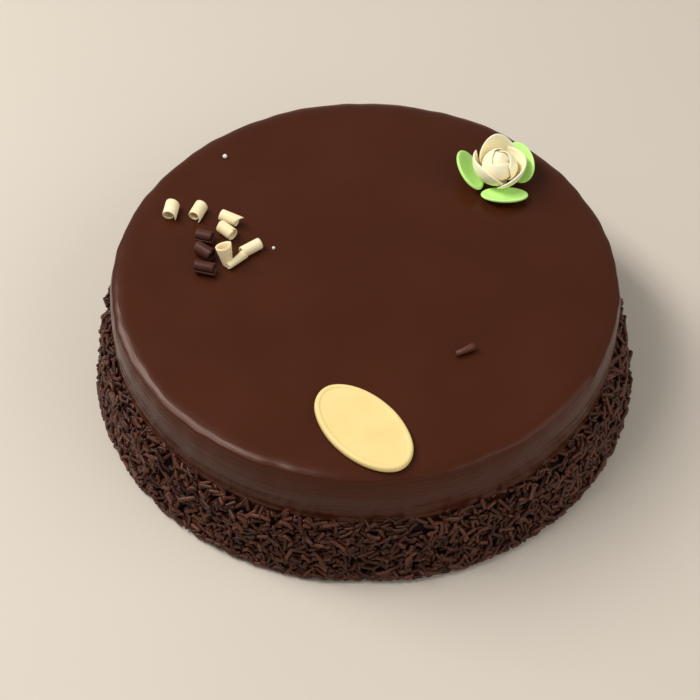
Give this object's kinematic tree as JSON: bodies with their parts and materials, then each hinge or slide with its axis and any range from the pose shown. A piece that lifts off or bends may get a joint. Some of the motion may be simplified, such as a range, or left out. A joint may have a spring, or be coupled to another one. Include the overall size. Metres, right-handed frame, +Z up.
{
  "type": "chocolate cake",
  "caption": "Round glazed chocolate cake with strands round its foot, an oval plaque, a sugar rose on leaves and small chocolate curls.",
  "frame": {"origin": "centre of the cake's flat underside", "axes": "+X right and +Y away from the viewer, with the plaque at -Y and the rose at +X +Y; +Z up out of the glazed top"},
  "size_m": [0.2626, 0.2607, 0.0828],
  "materials": {
    "glaze": "smooth semi-gloss dark chocolate glaze, with matt chocolate strands round the foot",
    "plaque": "satin pale yellow chocolate",
    "rose": "matt cream sugar paste",
    "leaf": "satin light green sugar paste",
    "white_curl": "satin white chocolate",
    "dark_curl": "satin dark chocolate"
  },
  "bodies": {
    "root": {"cake": "glaze", "dark_curl_1": "dark_curl", "dark_curl_2": "dark_curl", "dark_curl_3": "dark_curl", "dark_roll": "dark_curl", "plaque": "plaque", "rose_heart": "rose", "rose_inner_petal_1": "rose", "rose_inner_petal_2": "rose", "rose_inner_petal_3": "rose", "rose_leaf_1": "leaf", "rose_leaf_2": "leaf", "rose_leaf_3": "leaf", "rose_petal_1": "rose", "rose_petal_2": "rose", "rose_petal_3": "rose", "white_curl_1": "white_curl", "white_curl_2": "white_curl", "white_curl_3": "white_curl", "white_curl_4": "white_curl", "white_curl_5": "white_curl"}
  },
  "joints": []
}
